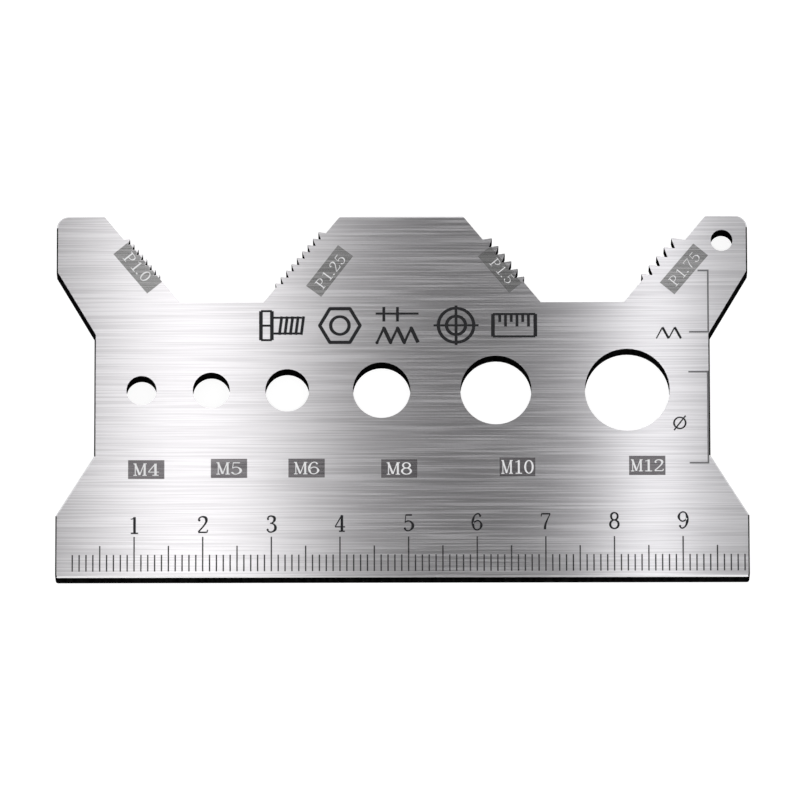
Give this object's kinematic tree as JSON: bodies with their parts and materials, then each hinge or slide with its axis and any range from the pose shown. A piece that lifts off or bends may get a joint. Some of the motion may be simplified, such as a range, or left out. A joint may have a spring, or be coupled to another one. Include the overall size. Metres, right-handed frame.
{
  "type": "screw gauge ruler",
  "caption": "Flat steel card with a ruler edge, a row of round holes that gauge bolt diameters, toothed edges that gauge thread pitch and a hanging hole.",
  "frame": {"origin": "middle of the card's back face: halfway along the ruler edge and halfway up the card", "axes": "+X along the ruler edge in the reading direction, +Y from the ruler edge to the horns, +Z out of the marked face"},
  "size_m": [0.1012, 0.0546, 0.0034],
  "materials": {
    "brushed_steel": "stainless steel, brushed along the ruler edge, dark cut edges",
    "dark_etch": "near-black etched marks, matt",
    "grey_etch": "grey etched fields and lines, matt",
    "bright_steel": "bare figures left bright in the etched fields"
  },
  "bodies": {
    "root": {"gauge_card": "brushed_steel"}
  },
  "joints": []
}
